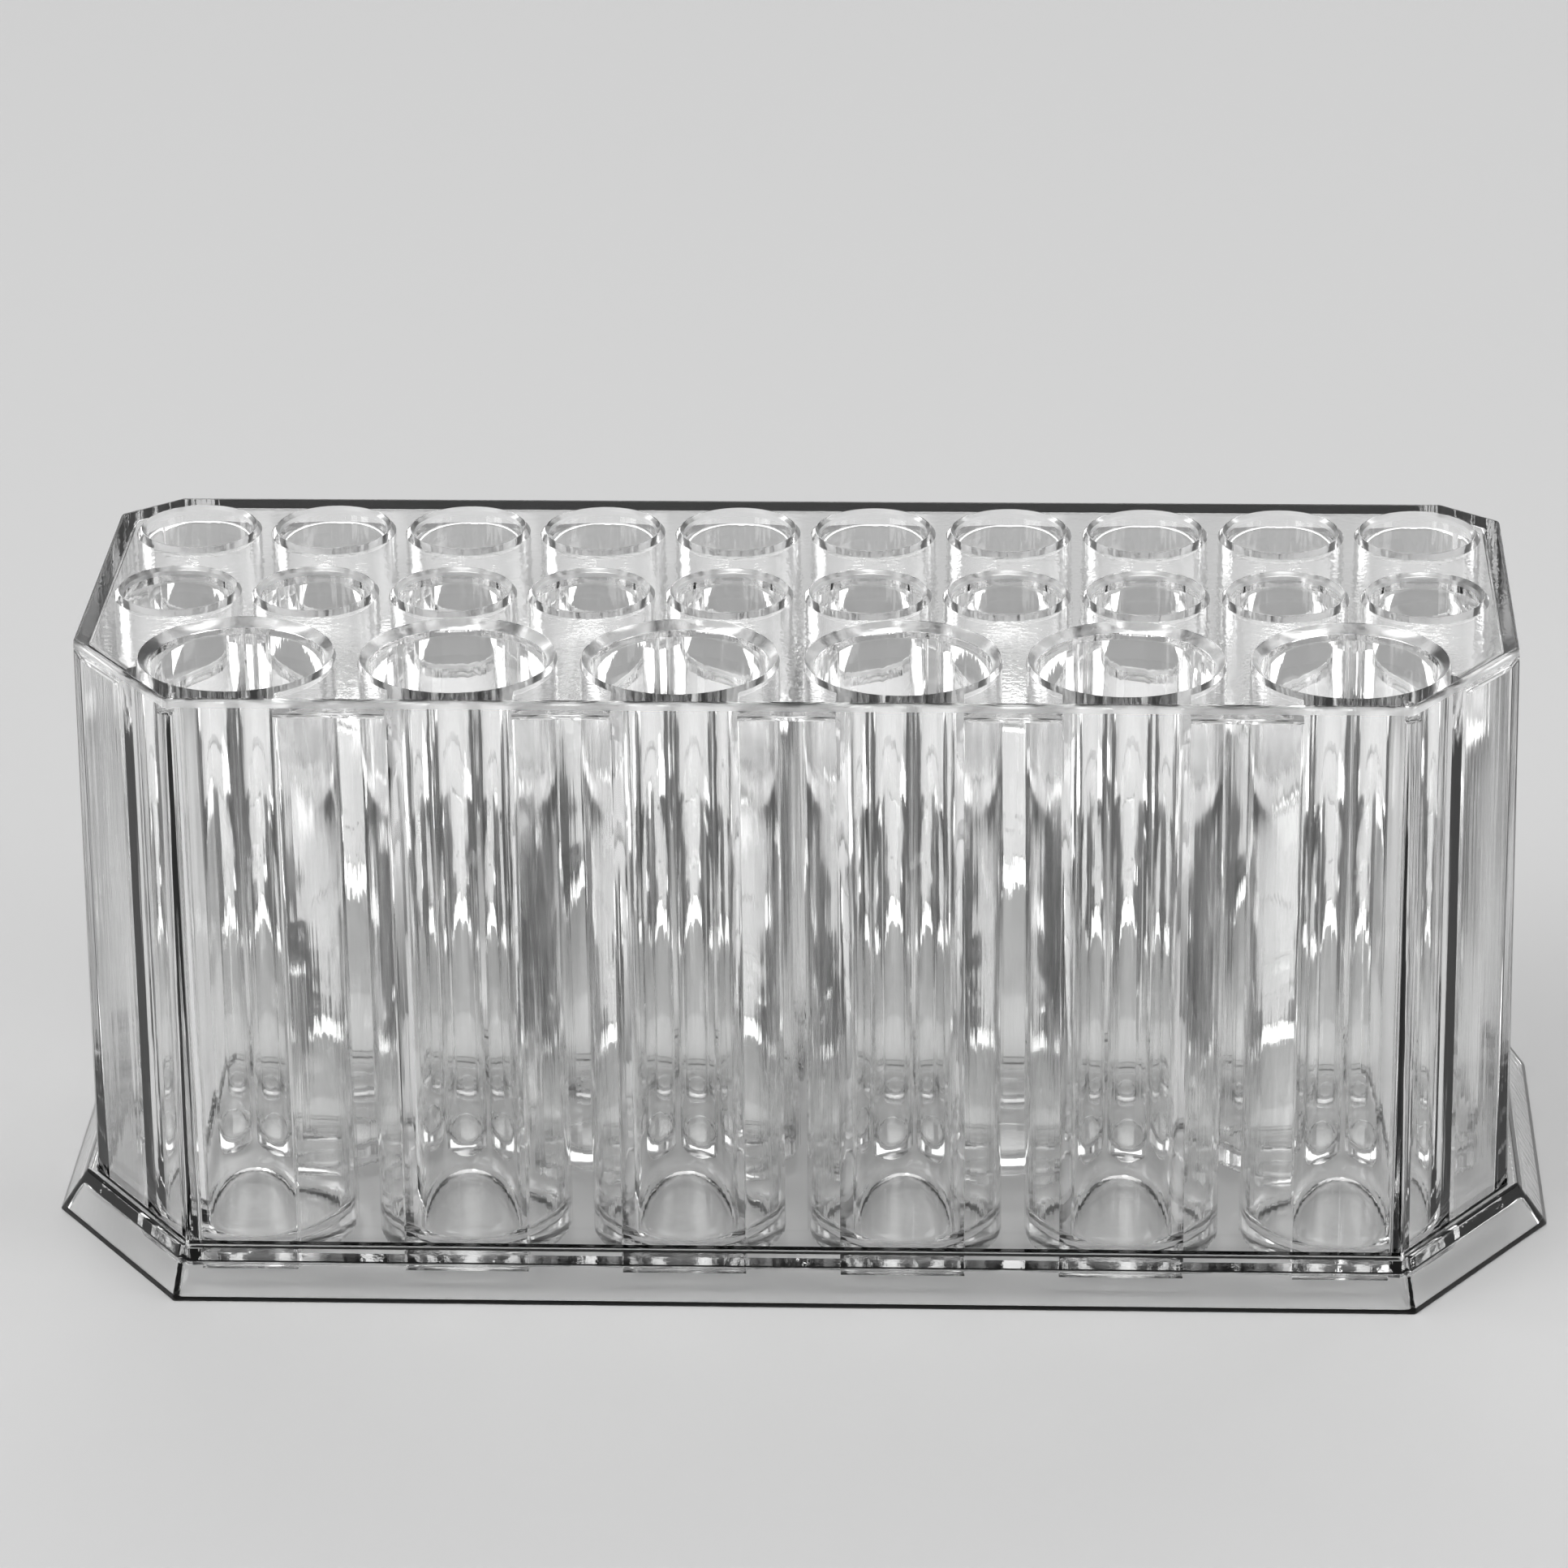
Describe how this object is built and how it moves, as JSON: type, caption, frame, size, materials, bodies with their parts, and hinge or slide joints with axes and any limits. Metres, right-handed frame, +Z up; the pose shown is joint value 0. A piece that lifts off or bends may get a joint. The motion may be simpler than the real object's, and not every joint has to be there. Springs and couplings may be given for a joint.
{
  "type": "vanity organizer",
  "caption": "Clear octagonal countertop holder for make-up brushes, with wide wells along the front and narrow wells behind, under a flat top plate, on a flared base.",
  "frame": {"origin": "centre of the footprint, on the table", "axes": "+X to the holder's right seen from the front, +Y to the back, +Z up; the wide wells face -Y"},
  "size_m": [0.21, 0.0844, 0.088],
  "materials": {
    "clear_acrylic": "polished, colourless, see-through plastic"
  },
  "bodies": {
    "root": {"top_plate": "clear_acrylic", "wall_sleeve": "clear_acrylic", "base_ring": "clear_acrylic", "large_cell_01": "clear_acrylic", "large_cell_02": "clear_acrylic", "large_cell_03": "clear_acrylic", "large_cell_04": "clear_acrylic", "large_cell_05": "clear_acrylic", "large_cell_06": "clear_acrylic", "middle_cell_01": "clear_acrylic", "middle_cell_02": "clear_acrylic", "middle_cell_03": "clear_acrylic", "middle_cell_04": "clear_acrylic", "middle_cell_05": "clear_acrylic", "middle_cell_06": "clear_acrylic", "middle_cell_07": "clear_acrylic", "middle_cell_08": "clear_acrylic", "middle_cell_09": "clear_acrylic", "middle_cell_10": "clear_acrylic", "back_cell_01": "clear_acrylic", "back_cell_02": "clear_acrylic", "back_cell_03": "clear_acrylic", "back_cell_04": "clear_acrylic", "back_cell_05": "clear_acrylic", "back_cell_06": "clear_acrylic", "back_cell_07": "clear_acrylic", "back_cell_08": "clear_acrylic", "back_cell_09": "clear_acrylic", "back_cell_10": "clear_acrylic"}
  },
  "joints": []
}
